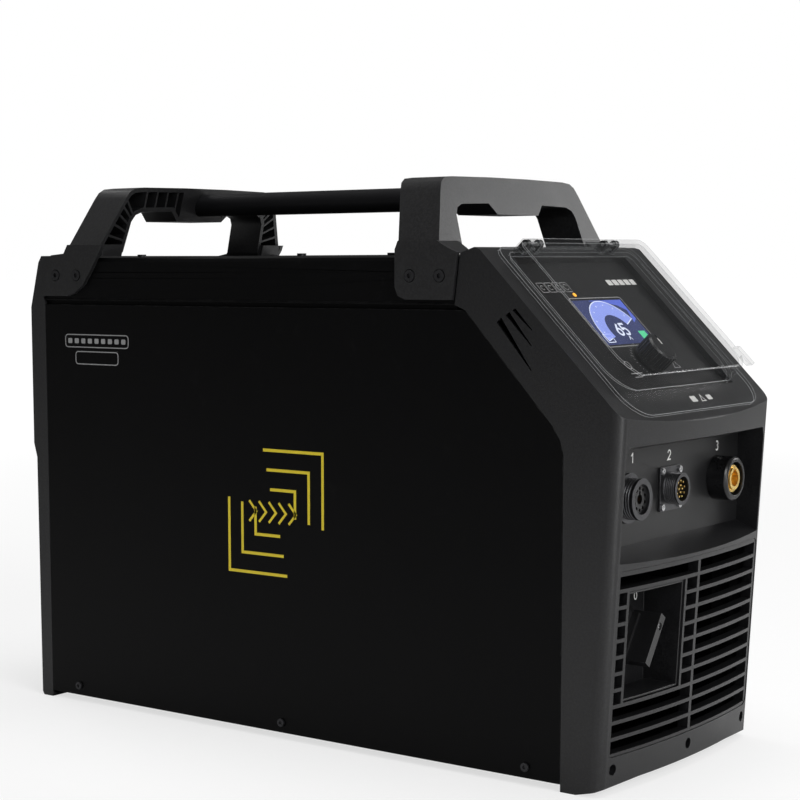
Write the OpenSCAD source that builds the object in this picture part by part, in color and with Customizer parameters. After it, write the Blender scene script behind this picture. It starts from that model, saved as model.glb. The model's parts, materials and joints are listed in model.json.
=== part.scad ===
// Plasma cutter power unit, free standing, built up from its separate parts.
// Millimetres, +Z up, controls face -Y, sides face -X and +X.
// Lengths along Y are measured back from the front seam of the side panels.

/* [Housing] */
// Width over the two side panels
body_width = 258; // [248:1:280]
// Length of the side panels, front seam to rear seam
panel_length = 564; // [520:1:640]
// Height of the top cover above the ground
cover_height = 418; // [418:1:460]
// Thickness of the sheet metal
sheet = 1.5; // [1:0.25:2]
// Wall thickness of the moulded parts
wall = 3; // [2.5:0.25:4]
// Radius of the upright front corners
corner_radius = 10; // [8:0.5:12]
// How far the middle of the front face bows out
front_bow = 8; // [6:0.5:10]

/* [Handles] */
// Height of the handle bars above the top cover
handle_rise = 65; // [60:1:85]
// Width of a handle arm, front to back
arm_width = 38; // [34:0.5:42]
// Outside diameter of the carrying tube
tube_diameter = 21; // [18:0.5:24]
// Angle the arches lean towards each other
handle_lean = 17; // [14:0.5:19]

/* [Controls] */
// Width of the display window
display_width = 80; // [70:1:84]
// Height of the display window
display_height = 50; // [44:1:54]
// Diameter of the setting knob
knob_diameter = 30; // [26:0.5:34]
// Height of the setting knob
knob_height = 17; // [14:0.5:18]
// Half the width of the clear cover
cover_half = 110; // [104:0.5:112]
// Height of the raised middle of the clear cover
dome_height = 15.5; // [14:0.5:17]
// Widest opening of the clear cover in degrees
cover_swing = 105; // [90:1:110]

/* [Sockets] */
// Outside diameter of the torch socket ring
torch_ring = 40; // [36:0.5:44]
// Width of the square flange of the data socket
data_flange = 36; // [32:0.5:38]
// Diameter of the work lead socket
work_diameter = 37.5; // [34:0.5:40]
// Height of the socket row above the front grille
socket_rise = 53; // [50:0.5:55]

/* [Front grille] */
// Height of the lowest slot above the ground
grille_bottom = 30; // [28:0.5:34]
// Spacing of the slats
slat_pitch = 13; // [11:0.25:13]
// Thickness of a slat
slat = 3; // [2.5:0.25:3.5]
// Width of the switch recess
pocket_width = 81; // [76:0.5:84]
// Length of the grip bar on the main switch
grip_length = 44; // [38:0.5:50]
// Angle of the grip bar from upright
grip_angle = 35; // [30:1:45]

/* [Cooling fan] */
// Size of the square fan frame
fan_size = 160; // [140:1:170]
// Number of fan blades
fan_blades = 7; // [5:1:9]

/* [Fits] */
// Gap between neighbouring parts
gap = 0.4; // [0.3:0.05:0.5]
// Clearance on the radius of a turning fit
running = 0.08; // [0.05:0.01:0.1]

/* [Hidden] */
half = body_width / 2;
nose_reach = 58.2;
rear_reach = 44;
mid_length = (panel_length + rear_reach - nose_reach) / 2;
front_lean = 3.04;
face_start = -42.9;
panel_top = cover_height - 43;
band_bottom = cover_height - 39;
nose = cover_height - 133;
screw_line = cover_height - 16;
handle_height = cover_height + handle_rise;
panel_bottom = 6;
bow_radius = (pow(half - corner_radius, 2) + pow(front_bow, 2)) / (2 * front_bow);
slope_middle = [0, 12.75, cover_height - 60.25];
slope_angle = 45;
pan = panel_bottom + sheet + 0.02;
plate_front = -25;
slat_rows = 11;
slot_low = grille_bottom + slat;
grille_top = grille_bottom + slat_rows * slat_pitch + slat + 1;
grille_half = half - 8;
pocket_height = 7 * slat_pitch - slat;
pocket_x = -62.5;
pocket_z = slot_low + 3 * slat_pitch + pocket_height / 2;
recess_half = half - 10;
recess_bottom = grille_top + 14;
socket_row = grille_top + socket_rise;
recess_top = socket_row + 32;
torch_x = -76;
torch_z = socket_row - 1.5;
torch_bore = torch_ring / 2 - 8;
data_x = -5;
data_barrel = data_flange / 2 - 5;
data_hole = data_flange / 2 - 3.5;
work_x = 80;
work_z = socket_row + 1;
knob_x = -6;
knob_s = -31;
panel_depth = 5.5;
display_s = 14;
hinge_s = 90;
hinge_h = 8;
hinge_pin = 1.5;
hinge_x = 62;
tube_height = handle_height - tube_diameter / 2 - 5.1;
boss_low = tube_height - tube_diameter / 2 - 4.9;
fan_depth = 34;
fan_y = panel_length + 11.1 - fan_depth;
fan_z = 125;
fan_bore = fan_size / 2 - 4;
$fn = 48;

// ---------- helpers ----------

// places along the length of the screws in the handle feet and in the top
function foot_screws() = [114.3, 143.3, panel_length - 43.8, panel_length - 17];
function top_screws() = [186, panel_length / 2, panel_length - 94];
function panel_screw_places() = [32, panel_length / 2 - 1, panel_length - 36];

module from_seam() {
  translate([0, -mid_length, 0]) children();
}

// extrudes a (y, z) outline along X
module along_x(x0, x1) {
  translate([x0, 0, 0]) rotate([90, 0, 90]) linear_extrude(height = x1 - x0) children();
}

// extrudes an (x, z) outline along Y
module along_y(y0, y1) {
  translate([0, y1, 0]) rotate([90, 0, 0]) linear_extrude(height = y1 - y0) children();
}

// local frame on the sloping control face: y up the slope, z outwards
module on_slope(s = 0, x = 0) {
  translate(slope_middle) rotate([slope_angle, 0, 0]) translate([x, s, 0]) children();
}

module rounded(x, y, r) {
  union() {
    square([x - 2 * r, y], center = true);
    square([x, y - 2 * r], center = true);
    for (i = [-1, 1]) {
      for (j = [-1, 1]) {
        translate([i * (x / 2 - r), j * (y / 2 - r)]) circle(r = r);
      }
    }
  }
}

module box(x0, x1, y0, y1, z0, z1) {
  translate([x0, y0, z0]) cube([x1 - x0, y1 - y0, z1 - z0]);
}

// the bowed front outline in plan, set in by t
module plan(t, back) {
  r = max(0.5, corner_radius - t);
  wide = half - t;
  union() {
    translate([-wide, front_bow + t + r]) square([2 * wide, back - front_bow - t - r]);
    translate([r - wide, front_bow + t]) square([2 * (wide - r), back - front_bow - t]);
    for (i = [-1, 1]) {
      translate([i * (wide - r), front_bow + t + r]) circle(r = r);
    }
    intersection() {
      translate([0, bow_radius + t]) circle(r = bow_radius, $fn = 200);
      translate([r - wide, 0]) square([2 * (wide - r), 40]);
    }
  }
}

// upright prism over the plan outline, leaning with the front face
module plan_prism(t, back = 190) {
  translate([0, face_start, 0]) rotate([front_lean, 0, 0]) translate([0, 0, -30])
    linear_extrude(height = cover_height + 122) plan(t, back);
}

// ---------- housing ----------

// side outline of the front moulding; extra pushes the open rear edge back
module front_side(extra = 0) {
  polygon([
    [extra, 0], [-14, 0], [-30, 4], [-40, 8], [-90, 8], [-90, nose], [-60, nose], [-57, nose + 4], [-51, nose + 9],
    [78, cover_height + 5], [83, cover_height + 6.5], [96 + extra, cover_height + 2], [101 + extra, band_bottom],
    [91 + extra, panel_top], [10 + extra, nose + 2], [3 + extra, nose - 9], [extra, nose - 20]
  ]);
}

module recess_space() {
  low = grille_top - 27;
  high = recess_top + 14;
  intersection() {
    along_x(-recess_half, recess_half) polygon([
      [plate_front, recess_bottom], [-47, recess_bottom - 9], [-90, recess_bottom - 26], [-90, high], [-44, high - 4],
      [plate_front, high - 10]
    ]);
    along_y(-160, 0) translate([0, (low + high) / 2]) rounded(2 * recess_half, high - low, 14);
  }
}

module front_shell() {
  difference() {
    intersection() {
      along_x(-half, half) front_side();
      plan_prism(0);
    }
    difference() {
      intersection() {
        along_x(wall - half, half - wall) offset(delta = -wall) front_side(30);
        plan_prism(wall);
      }
      box(-half, half, -80, plate_front + wall + 2, grille_top + 1, recess_top + 18);
      for (x = [-112, 0, 112]) {
        translate([x, -22, 20]) rotate([90, 0, 0]) cylinder(r = 8, h = 40);
      }
      on_slope(8) translate([0, 0, -panel_depth - 4]) cube([190, 160, 20], center = true);
    }
  }
}

// ears that carry the hinge pins of the clear cover
module hinge_ears() {
  on_slope() for (i = [-1, 1]) {
    for (k = [-1, 1]) {
      difference() {
        union() {
          translate([i * hinge_x + k * 9.2 - 2.4, hinge_s - 3.5, -2]) cube([4.8, 7, hinge_h + 2]);
          translate([i * hinge_x + k * 9.2, hinge_s, hinge_h]) rotate([0, 90, 0]) cylinder(r = 3.5, h = 4.8, center = true);
        }
        translate([i * hinge_x, hinge_s, hinge_h]) rotate([0, 90, 0]) cylinder(r = hinge_pin, h = 30, center = true);
      }
    }
  }
}

module side_slots() {
  translate([0, cover_height]) {
    polygon([[62, -52], [57.5, -48], [29.2, -88.6], [30, -89]]);
    polygon([[53.5, -46.5], [50, -43.7], [29.2, -69.6], [30, -70]]);
    polygon([[47.2, -42.7], [44.5, -40.8], [28.7, -57.6], [29.5, -58]]);
  }
}

module front_bezel() {
  color([0.09, 0.09, 0.095]) from_seam() union() {
    front_moulding();
    hinge_ears();
  }
}

module front_moulding() {
  difference() {
    front_shell();
    recess_space();
    // seat for the connector plate
    box(-recess_half - 2 - gap, recess_half + 2 + gap, plate_front, 40, recess_bottom - 4, recess_top + 9);
    // grille opening
    along_y(-80, -20) translate([0, (grille_top + grille_bottom) / 2])
      rounded(2 * grille_half, grille_top - grille_bottom, 8);
    box(-grille_half + 2, grille_half - 2, -34, 40, grille_bottom + 2, grille_top - 2);
    // opening for the control panel
    on_slope(8) translate([0, 0, -panel_depth + 15]) cube([180, 148, 30], center = true);
    on_slope(8) translate([0, 0, -panel_depth - 20 + 0.01]) cube([184, 152, 40], center = true);
    // screw pockets along the bottom of the face
    for (x = [-112, 0, 112]) {
      translate([x, -30, 20]) rotate([90, 0, 0]) cylinder(r = 4.5, h = 60);
      translate([x, -10, 20]) rotate([90, 0, 0]) cylinder(r = 2.02, h = 30);
    }
    // tapered slots in the two cheeks
    along_x(-half - 1, 8 - half) side_slots();
    along_x(half - 8, half + 1) side_slots();
  }
}

module side_outline() {
  polygon([
    [gap, panel_bottom], [panel_length - gap, panel_bottom], [panel_length - gap, panel_top],
    [91 + gap, panel_top],
    [10 + gap, nose + 2], [3 + gap, nose - 9], [gap, nose - 20]
  ]);
}

module side_panel() {
  difference() {
    union() {
      along_x(half - sheet, half) side_outline();
      box(half - 14, half - sheet / 2, 30, panel_length - 30, panel_bottom, panel_bottom + sheet);
    }
    for (y = panel_screw_places()) {
      translate([half - 4, y, 15]) rotate([0, 90, 0]) cylinder(r = 2.2, h = 8);
    }
  }
}

module side_panel_left() {
  color([0.05, 0.05, 0.055]) from_seam() mirror([1, 0, 0]) side_panel();
}

module side_panel_right() {
  color([0.05, 0.05, 0.055]) from_seam() side_panel();
}

module cover_solid(low) {
  polygon([
    [half - 2, low], [half - 2, cover_height - 4], [half - 3.2, cover_height - 1.2], [half - 6, cover_height],
    [60, cover_height + 1.2], [-60, cover_height + 1.2], [6 - half, cover_height],
    [3.2 - half, cover_height - 1.2], [2 - half, cover_height - 4], [2 - half, low]
  ]);
}

module top_cover() {
  color([0.05, 0.05, 0.055]) from_seam() difference() {
    along_y(90, panel_length + 2) union() {
      difference() {
        cover_solid(band_bottom);
        offset(delta = -sheet) cover_solid(band_bottom - 40);
      }
      // joggled lip behind the side panels
      for (i = [-1, 1]) {
        translate([i * (half - 5), band_bottom - 4]) square([sheet, 16], center = true);
        translate([i * (half - 3.5), band_bottom + sheet / 2]) square([3 + sheet, sheet], center = true);
      }
    }
    // slanted ends beside the front and rear mouldings
    along_x(-half - 5, half + 5) polygon([
      [60, nose], [101 + gap, nose], [101 + gap, band_bottom], [96.6 + gap, cover_height + 3], [60, cover_height + 3]
    ]);
    along_x(-half - 5, half + 5) polygon([
      [panel_length + 40, nose], [panel_length - gap, nose], [panel_length - gap, panel_top],
      [panel_length + 2 - gap, band_bottom + 3], [panel_length - 10 - gap, cover_height + 2],
      [panel_length + 40, cover_height + 2]
    ]);
    for (i = [-1, 1]) {
      for (y = foot_screws()) {
        translate([i * (half - 8), y, screw_line]) rotate([0, i * 90, 0]) cylinder(r = 2.7, h = 12);
      }
      for (y = top_screws()) {
        translate([i * (half - 33), y, cover_height - 6]) cylinder(r = 2.2, h = 16);
      }
    }
  }
}

module base_pan() {
  color([0.12, 0.12, 0.125]) from_seam() difference() {
    union() {
      box(16 - half, half - 16, -8, panel_length + 8, pan, pan + sheet);
      for (i = [-1, 1]) {
        box(i > 0 ? half - 4 : sheet - half + gap, i > 0 ? half - sheet - gap : 4 - half, 2, panel_length - 2, pan, 32);
        box(i > 0 ? half - 17 : 2 - half, i > 0 ? half - 2 : 17 - half, 2, panel_length - 2, pan, pan + sheet);
      }
    }
    for (y = panel_screw_places()) {
      translate([-half - 5, y, 15]) rotate([0, 90, 0]) cylinder(r = 1.6, h = 2 * half + 10);
    }
  }
}

// side outline of the rear moulding, thicker above the middle
module rear_side(extra = 0) {
  y = panel_length;
  polygon([
    [y - extra, 0], [y + 12, 0], [y + 14, 3], [y + 15, 230], [y + 24, 262], [y + 24, cover_height - 66],
    [y + 8, cover_height - 4], [y + 4, cover_height + 2], [y - 10 - extra, cover_height + 2],
    [y + 2 - extra, band_bottom + 3], [y - extra, panel_top]
  ]);
}

module rear_bezel() {
  color([0.09, 0.09, 0.095]) from_seam() difference() {
    along_x(-half, half) rear_side();
    along_x(wall - half, half - wall) offset(delta = -wall) rear_side(40);
    // bevelled upright corners
    for (i = [-1, 1]) {
      translate([i * (half + 2), panel_length + 26, cover_height / 2]) rotate([0, 0, 45])
        cube([13, 13, cover_height + 30], center = true);
    }
    translate([0, fan_y, fan_z]) rotate([-90, 0, 0]) cylinder(r = fan_bore - 4, h = 80);
    for (i = [-1, 1]) {
      for (k = [-1, 1]) {
        translate([i * (fan_size / 2 - 6), panel_length, fan_z + k * (fan_size / 2 - 6)]) rotate([-90, 0, 0])
          cylinder(r = 2.2, h = 30);
      }
    }
    translate([-78, panel_length, 300]) rotate([-90, 0, 0]) cylinder(r = 12.2, h = 40);
    translate([78, panel_length, 300]) rotate([-90, 0, 0]) cylinder(r = 8.2, h = 40);
  }
}

// ---------- handles ----------

// one half of the arch seen from the front, mirrored for the other
module half_arch() {
  low = cover_height + 1.6;
  top = handle_height;
  polygon([
    [half + 2.5, low], [half + 2.5, low + 4], [half - 21, top - 12], [half - 25, top - 5.5], [half - 31, top - 2],
    [half - 43, top - 0.8], [30, top], [-1, top], [-1, boss_low], [32, boss_low], [42, top - 22],
    [half - 47, top - 23], [half - 39, top - 26], [half - 35, top - 32], [half - 32, low + 4], [half - 29, low]
  ]);
}

module arch_outline() {
  union() {
    half_arch();
    mirror([1, 0]) half_arch();
  }
}

// the arch seen from the side; y0 is its front face at the cover, front and back widen it
module arm_side(y0, side, front = 0, back = 0) {
  low = cover_height + 1.6;
  depth = arm_width / cos(handle_lean);
  shift = side * (handle_height + 10 - low) * tan(handle_lean);
  polygon([
    [y0 + front, low], [y0 + depth + back, low], [y0 + depth + back + shift, handle_height + 10],
    [y0 + front + shift, handle_height + 10]
  ]);
}

module rib_lines() {
  square([60, 1200], center = true);
  for (x = [-80, -66, -52, -38, 38, 52, 66, 80]) {
    translate([x, 500]) square([2, 200], center = true);
  }
  for (i = [-1, 1]) {
    for (k = [0:5]) {
      translate([i * (half - 17), cover_height + 8 + k * 10.5]) rotate([0, 0, i * (4 + k * 9)])
        square([70, 2], center = true);
    }
  }
}

// moulded arch with a ribbed hollow that faces the other handle
module arch(y0, side) {
  difference() {
    intersection() {
      along_y(y0 - 40, y0 + 80) arch_outline();
      along_x(-half - 10, half + 10) arm_side(y0, side);
    }
    intersection() {
      along_y(y0 - 40, y0 + 80) difference() {
        offset(delta = -4) arch_outline();
        rib_lines();
      }
      along_x(-half - 10, half + 10) arm_side(y0, side, side > 0 ? 5 : -60, side > 0 ? 60 : -5);
    }
  }
}

// sunk seats for the screws of one foot
module foot_holes(places) {
  for (i = [-1, 1]) {
    for (y = places) {
      translate([i * (half - 4), y, screw_line]) rotate([0, i * 90, 0]) cylinder(r = 2.7, h = 12);
      translate([i * (half + 0.5), y, screw_line]) rotate([0, i * 90, 0]) cylinder(r = 5.4, h = 12);
    }
  }
}

module front_handle() {
  h = cover_height;
  color([0.16, 0.16, 0.165]) from_seam() difference() {
    union() {
      arch(113.5, 1);
      for (i = [-1, 1]) {
        mirror([i < 0 ? 1 : 0, 0, 0]) {
          along_x(half - 1.7, half + 2.5) polygon([
            [102.2, h - 35], [148, h - 35], [155, h - 32], [158, h - 25], [158, h + 5], [155, h + 12], [117, h + 12],
            [106, h + 6], [97.6, h + 2.6]
          ]);
          along_x(half - 28, half - 1) polygon([
            [103, h + 1.6], [158, h + 1.6], [157, h + 6], [154, h + 12], [117, h + 12], [108, h + 6]
          ]);
        }
      }
    }
    translate([0, 143, tube_height]) rotate([-90, 0, 0]) cylinder(r = tube_diameter / 2 + 0.02, h = 60);
    foot_holes([foot_screws()[0], foot_screws()[1]]);
  }
}

module rear_handle() {
  h = cover_height;
  color([0.12, 0.12, 0.125]) from_seam() difference() {
    union() {
      translate([0, panel_length, 0]) arch(-70, -1);
      for (i = [-1, 1]) {
        translate([0, panel_length, 0]) mirror([i < 0 ? 1 : 0, 0, 0]) {
          along_x(half - 1.7, half + 2.5) polygon([
            [0.6, h - 35], [-31, h - 35], [-40, h - 33], [-53, h - 24], [-64, h - 9], [-75, h + 7], [-77, h + 12],
            [-33, h + 12], [-28, h + 4], [-11.4, h + 2.6]
          ]);
          along_x(half - 28, half - 1) polygon([
            [-14, h + 1.6], [-73, h + 1.6], [-75, h + 8], [-76, h + 12], [-33, h + 12], [-27, h + 4]
          ]);
        }
      }
    }
    translate([0, panel_length - 104, tube_height]) rotate([-90, 0, 0])
      cylinder(r = tube_diameter / 2 + 0.02, h = 42);
    foot_holes([foot_screws()[2], foot_screws()[3]]);
  }
}

module carry_tube() {
  color([0.14, 0.14, 0.15]) from_seam() translate([0, 143.2, tube_height]) rotate([-90, 0, 0]) difference() {
    cylinder(r = tube_diameter / 2, h = panel_length - 62.4 - 143.2);
    translate([0, 0, -1]) cylinder(r = tube_diameter / 2 - 2, h = panel_length);
  }
}

// pan head screw along +Z, head seat at z = 0
module screw(r, length, head_r, head) {
  union() {
    translate([0, 0, -length]) cylinder(r = r, h = length + 0.1);
    difference() {
      cylinder(r = head_r, h = head);
      translate([0, 0, head - head * 0.6]) cylinder(r = head_r * 0.45, h = head, $fn = 6);
    }
  }
}

module handle_screws() {
  color([0.2, 0.2, 0.2]) from_seam() for (i = [-1, 1]) {
    for (y = foot_screws()) {
      translate([i * (half + 0.5), y, screw_line]) rotate([0, i * 90, 0]) screw(2.6, 14, 4.8, 2.6);
    }
  }
}

module cover_screws() {
  color([0.2, 0.2, 0.2]) from_seam() for (i = [-1, 1]) {
    for (y = top_screws()) {
      translate([i * (half - 33), y, cover_height + 0.55]) screw(2.1, 10, 4, 2.2);
    }
  }
}

module panel_screws() {
  color([0.2, 0.2, 0.2]) from_seam() for (i = [-1, 1]) {
    for (y = panel_screw_places()) {
      translate([i * (half + 0.02), y, 15]) rotate([0, i * 90, 0]) screw(1.55, 8, 3.6, 1.8);
    }
  }
}

// ---------- controls ----------

module control_panel() {
  color([0.13, 0.13, 0.135]) from_seam() on_slope(8) difference() {
    translate([0, 0, -panel_depth - 1.5]) linear_extrude(height = 3, center = true)
      rounded(184 - 2 * gap, 152 - 2 * gap, 4);
    translate([knob_x, display_s - 8, -panel_depth]) cube([display_width, display_height, 12], center = true);
    translate([knob_x, knob_s - 8, -20]) cylinder(r = 3.6 + running, h = 40);
    for (i = [0:3]) {
      translate([-80 + i * 12, 46, -panel_depth]) cube([8, 8, 3], center = true);
    }
  }
}

module display_module() {
  color([0.1, 0.2, 0.15]) from_seam() on_slope(display_s, knob_x) union() {
    translate([0, 0, -panel_depth - 6.05]) cube([display_width + 8, display_height + 6, 6], center = true);
    translate([0, 0, -panel_depth - 2.12]) cube([display_width - 0.6, display_height - 0.6, 2.2], center = true);
  }
}

module display_lens() {
  color([0.05, 0.06, 0.09]) from_seam() on_slope(display_s, knob_x)
    translate([0, 0, -panel_depth - 0.52]) cube([display_width - 0.6, display_height - 0.6, 1], center = true);
}

module encoder_body() {
  color([0.3, 0.3, 0.3]) from_seam() on_slope(knob_s, knob_x) difference() {
    union() {
      translate([0, 0, -panel_depth - 3.05 - 4]) cube([14, 13, 8], center = true);
      translate([0, 0, -panel_depth - 4]) cylinder(r = 3.6, h = 6.4);
    }
    translate([0, 0, -panel_depth - 10]) cylinder(r = 3 + running, h = 30);
  }
}

module encoder_sleeve() {
  color([0.7, 0.7, 0.7]) from_seam() on_slope(knob_s, knob_x) difference() {
    translate([0, 0, -panel_depth - 8]) cylinder(r = 3, h = 12);
    translate([0, 0, -panel_depth - 9]) cylinder(r = 2 + running, h = 20);
  }
}

module encoder_shaft() {
  color([0.7, 0.7, 0.7]) from_seam() on_slope(knob_s, knob_x) union() {
    translate([0, 0, -panel_depth - 8]) cylinder(r = 2, h = 12);
    translate([0, 0, -panel_depth + 4.1]) cylinder(r = 3, h = 9);
    translate([0, 0, -panel_depth + 3.9]) cylinder(r = 2, h = 1);
  }
}

// knob outline with finger grooves
module knob_rim() {
  r = knob_diameter / 2;
  difference() {
    circle(r = r);
    for (i = [0:23]) {
      rotate([0, 0, i * 15]) translate([r + 0.6, 0]) circle(r = 1.6);
    }
  }
}

module encoder_knob() {
  r = knob_diameter / 2;
  color([0.06, 0.06, 0.065]) from_seam() on_slope(knob_s, knob_x) translate([0, 0, -panel_depth + 2]) difference() {
    union() {
      cylinder(r = r, h = 3);
      translate([0, 0, 2.9]) linear_extrude(height = knob_height - 4.4) knob_rim();
      translate([0, 0, knob_height - 1.6]) cylinder(r1 = r - 1.3, r2 = r - 2.8, h = 1.6);
    }
    translate([0, 0, -1]) cylinder(r = 5.2, h = 3.1);
    translate([0, 0, 1]) cylinder(r = 3, h = knob_height - 5);
    translate([0, r - 5, knob_height - 0.6]) cylinder(r = 1.6, h = 2);
  }
}

// rounded plate with larger corners at its lower end
module cover_plan(wide, low, high, r_low, r_high) {
  union() {
    translate([0, (low + high) / 2]) rounded(2 * wide, high - low, r_low);
    translate([0, (high + low + 2 * r_low) / 2]) rounded(2 * wide, high - low - 2 * r_low, r_high);
  }
}

module dome(t) {
  wide = cover_half - 9 - t;
  low = -66 + t;
  high = 85.5 - t;
  top = 3 + dome_height - t;
  intersection() {
    along_x(-wide, wide) polygon([[low, 0.5], [high, 0.5], [high, top], [low + 7, top], [low + 3, top - 1]]);
    translate([0, 0, 0.5]) linear_extrude(height = top + 1) cover_plan(wide, low, high, 28 - t, 9 - t);
  }
}

module clear_cover() {
  color([0.85, 0.9, 0.95, 0.35]) from_seam() on_slope() difference() {
    union() {
      translate([0, 0, 0.5]) linear_extrude(height = 2.5) cover_plan(cover_half, -91, 92, 26, 12);
      dome(0);
      // lift tab
      translate([cover_half - 13, -62, dome_height]) cube([12, 20, 3]);
      // hinge knuckles
      for (i = [-1, 1]) {
        translate([i * hinge_x, hinge_s, hinge_h]) rotate([0, 90, 0]) cylinder(r = 4, h = 12, center = true);
        translate([i * hinge_x - 6, 82, 0.5]) cube([12, 6, hinge_h + 2.5]);
      }
    }
    difference() {
      dome(2.5);
      translate([0, 0, -10]) cube([400, 400, 20.8], center = true);
    }
    translate([0, 0, -1]) linear_extrude(height = 1.6) cover_plan(cover_half - 11.5, -63.5, 83, 25.5, 6.5);
    for (i = [-1, 1]) {
      translate([i * hinge_x, hinge_s, hinge_h]) rotate([0, 90, 0])
        cylinder(r = hinge_pin + running, h = 20, center = true);
      for (k = [-1, 1]) {
        translate([i * hinge_x + k * 9.2 - 2.9, hinge_s - 4.2, 0]) cube([5.8, 10, 3.6]);
      }
    }
  }
}

module hinge_pins() {
  color([0.7, 0.7, 0.72]) from_seam() on_slope() for (i = [-1, 1]) {
    translate([i * hinge_x, hinge_s, hinge_h]) rotate([0, 90, 0]) cylinder(r = hinge_pin, h = 23, center = true);
  }
}

// ---------- sockets ----------

// frames along the axis of each socket, outwards from the plate
module at_torch() {
  translate([torch_x, plate_front, torch_z]) rotate([90, 0, 0]) children();
}

module at_data() {
  translate([data_x, plate_front, socket_row]) rotate([90, 0, 0]) children();
}

module at_work() {
  translate([work_x, plate_front, work_z]) rotate([90, 0, 0]) children();
}

module data_corners() {
  for (i = [-1, 1]) {
    for (j = [-1, 1]) {
      translate([i * data_hole, j * data_hole]) children();
    }
  }
}

module connector_plate() {
  wide = recess_half + 2;
  color([0.13, 0.13, 0.135]) from_seam() difference() {
    box(-wide, wide, plate_front + 0.02, plate_front + 3, recess_bottom - 3.6, recess_top + 8.6);
    at_torch() translate([0, 0, -7]) cylinder(r = torch_bore + 2.05, h = 12);
    at_data() translate([0, 0, -7]) cylinder(r = data_barrel - 1.45, h = 12);
    at_work() translate([0, 0, -7]) cylinder(r = work_diameter / 2 - 5.7, h = 12);
    at_data() translate([0, 0, -7]) data_corners() cylinder(r = 1.6, h = 12);
  }
}

// threaded barrel along +Z with a thread cut as rings
module ringed(r, length, pitch) {
  difference() {
    cylinder(r = r, h = length);
    for (z = [pitch : pitch : length - pitch]) {
      translate([0, 0, z]) rotate_extrude() polygon([[r - 0.9, 0], [r + 1, -pitch * 0.55], [r + 1, pitch * 0.55]]);
    }
  }
}

module torch_ring_shell() {
  color([0.1, 0.1, 0.1]) from_seam() at_torch() difference() {
    union() {
      cylinder(r = torch_ring / 2, h = 4);
      translate([0, 0, 3]) ringed(torch_ring / 2 - 3.5, 12, 2.2);
      translate([0, 0, -22]) cylinder(r = torch_bore + 2, h = 23);
    }
    translate([0, 0, -23]) cylinder(r = torch_bore, h = 60);
  }
}

module torch_insert() {
  color([0.07, 0.07, 0.07]) from_seam() at_torch() difference() {
    translate([0, 0, -20]) cylinder(r = torch_bore, h = 32.5);
    cylinder(r = 4, h = 20);
    translate([-1.2, 3, 4]) cube([2.4, 3.4, 20]);
    for (a = [0 : 36 : 324]) {
      rotate([0, 0, a]) translate([0, torch_bore - 3.4, 3]) cylinder(r = 1.5, h = 20);
    }
  }
}

module torch_contacts() {
  color([0.8, 0.6, 0.25]) from_seam() at_torch() union() {
    for (a = [0 : 36 : 324]) {
      rotate([0, 0, a]) translate([0, torch_bore - 3.4, 3.02]) cylinder(r = 0.8, h = 7);
    }
    difference() {
      translate([0, 0, 0.02]) cylinder(r = 3.95, h = 6);
      translate([0, 0, 1]) cylinder(r = 2.5, h = 8);
    }
  }
}

module data_shell() {
  color([0.12, 0.12, 0.12]) from_seam() at_data() difference() {
    union() {
      linear_extrude(height = 2) difference() {
        rounded(data_flange, data_flange, 2);
        data_corners() circle(r = 1.6);
      }
      translate([0, 0, 1.5]) ringed(data_barrel, 11.5, 1.6);
      translate([0, 0, -16]) cylinder(r = data_barrel - 1.5, h = 17);
    }
    translate([0, 0, -17]) cylinder(r = data_barrel - 3, h = 60);
  }
}

module data_insert() {
  color([0.07, 0.07, 0.07]) from_seam() at_data() translate([0, 0, -14]) cylinder(r = data_barrel - 3, h = 19);
}

module data_pins() {
  color([0.8, 0.7, 0.4]) from_seam() at_data() translate([0, 0, 5.02]) union() {
    for (a = [0 : 40 : 320]) {
      rotate([0, 0, a]) translate([0, data_barrel - 6.2, 0]) cylinder(r = 0.8, h = 6);
    }
    for (a = [0 : 90 : 270]) {
      rotate([0, 0, a]) translate([0, 2.8, 0]) cylinder(r = 0.8, h = 6);
    }
  }
}

module flange_screws() {
  color([0.6, 0.6, 0.6]) from_seam() at_data() translate([0, 0, 2.02]) data_corners() screw(1.5, 6.5, 2.7, 1.5);
}

module work_housing() {
  r = work_diameter / 2;
  color([0.05, 0.05, 0.05]) from_seam() at_work() difference() {
    union() {
      cylinder(r = r, h = 16);
      translate([0, 0, 16]) cylinder(r1 = r, r2 = r - 2, h = 2);
      translate([0, 0, -18]) cylinder(r = r - 5.75, h = 19);
    }
    translate([0, 0, 6]) cylinder(r = r - 4.75, h = 20);
    translate([0, 0, -19]) cylinder(r = 6, h = 40);
  }
}

module work_contact() {
  color([0.85, 0.65, 0.2]) from_seam() at_work() difference() {
    union() {
      translate([0, 0, -24]) cylinder(r = 5.95, h = 31);
      translate([0, 0, 6.02]) cylinder(r = 11.5, h = 9);
      translate([0, 0, 15]) cylinder(r = 9.5, h = 2);
    }
    translate([0, 0, 8]) cylinder(r = 6.6, h = 20);
    translate([0, 6, 28]) rotate([0, 0, 45]) cube([4, 4, 40], center = true);
  }
}

// ---------- front grille and main switch ----------

// openings of the grille; the switch recess takes the place of rows 3 to 9 on the left
module slot_layout() {
  open = slat_pitch - slat;
  left = 5 - grille_half;
  recess_left = pocket_x - pocket_width / 2;
  recess_right = pocket_x + pocket_width / 2;
  for (k = [0 : slat_rows - 1]) {
    translate([2, slot_low + k * slat_pitch]) square([grille_half - 7, open]);
    if (k < 3 || k > 9) {
      translate([left, slot_low + k * slat_pitch]) square([grille_half - 7, open]);
    } else {
      translate([left, slot_low + k * slat_pitch]) square([recess_left - 3 - left, open]);
      translate([recess_right + 3, slot_low + k * slat_pitch]) square([-5 - recess_right, open]);
    }
  }
}

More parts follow.
